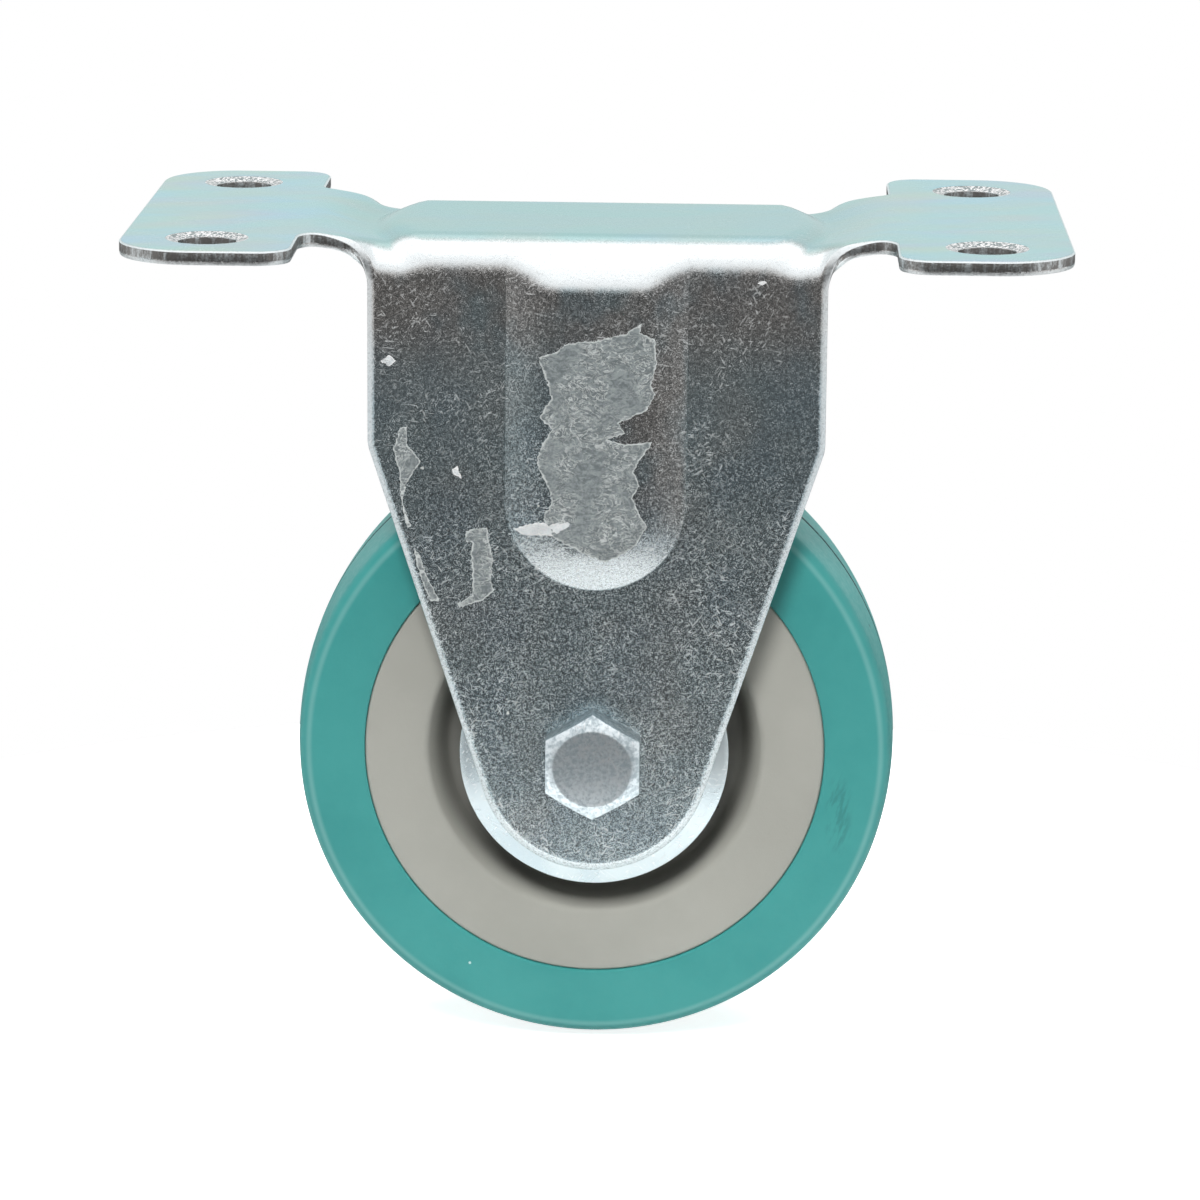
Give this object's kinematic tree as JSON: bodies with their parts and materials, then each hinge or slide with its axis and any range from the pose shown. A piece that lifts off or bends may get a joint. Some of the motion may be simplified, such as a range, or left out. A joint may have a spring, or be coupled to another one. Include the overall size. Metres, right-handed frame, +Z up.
{
  "type": "fixed castor",
  "caption": "Fixed castor: a pressed steel fork with a bolt-on top plate and a tyred wheel that rolls on ball bearings.",
  "frame": {"origin": "middle of the mounting plate's top face, which lies against what the castor carries", "axes": "+Z up out of the plate's top face; X along the plate and the rolling direction; +Y along the axle, away from the bolt head"},
  "size_m": [0.0984, 0.0566, 0.0887],
  "materials": {
    "zinc_sheet": "pressed steel sheet, zinc plated and passivated",
    "zinc_fastener": "zinc-plated steel",
    "nylon_ring": "nylon locking ring",
    "turned_steel": "turned steel, bright",
    "bright_cap": "bright zinc-plated sheet",
    "grey_hub": "moulded grey polypropylene, satin",
    "green_tyre": "moulded blue-green thermoplastic rubber, satin",
    "bearing_steel": "ground and polished bearing steel",
    "cage_nylon": "moulded nylon",
    "shield_steel": "pressed steel shield"
  },
  "bodies": {
    "fork": {"bracket": "zinc_sheet", "axle_bolt": "zinc_fastener", "axle_nut": "zinc_fastener", "nut_insert": "nylon_ring", "axle_sleeve": "turned_steel", "centre_spacer": "turned_steel", "front_spacer": "turned_steel", "rear_spacer": "turned_steel", "front_dust_cap": "bright_cap", "rear_dust_cap": "bright_cap", "front_inner_race": "bearing_steel", "rear_inner_race": "bearing_steel"},
    "wheel": {"wheel_core": "grey_hub", "tyre": "green_tyre", "front_outer_race": "bearing_steel", "rear_outer_race": "bearing_steel", "front_outer_shield": "shield_steel", "front_inner_shield": "shield_steel", "rear_outer_shield": "shield_steel", "rear_inner_shield": "shield_steel"},
    "front_ball_set": {"front_cage": "cage_nylon", "front_balls": "bearing_steel"},
    "rear_ball_set": {"rear_cage": "cage_nylon", "rear_balls": "bearing_steel"}
  },
  "joints": [
    {"name": "wheel_spin", "type": "hinge", "parent": "fork", "child": "wheel", "pos_m": [0, 0, -0.0565], "axis": [0, 1, 0], "continuous": true},
    {"name": "front_balls_spin", "type": "hinge", "parent": "fork", "child": "front_ball_set", "pos_m": [0, -0.005, -0.0565], "axis": [0, 1, 0], "continuous": true},
    {"name": "rear_balls_spin", "type": "hinge", "parent": "fork", "child": "rear_ball_set", "pos_m": [0, 0.005, -0.0565], "axis": [0, 1, 0], "continuous": true}
  ],
  "couplings": [
    {"joint": "front_balls_spin", "follows": "wheel_spin", "ratio": 0.6323},
    {"joint": "rear_balls_spin", "follows": "wheel_spin", "ratio": 0.6323}
  ]
}
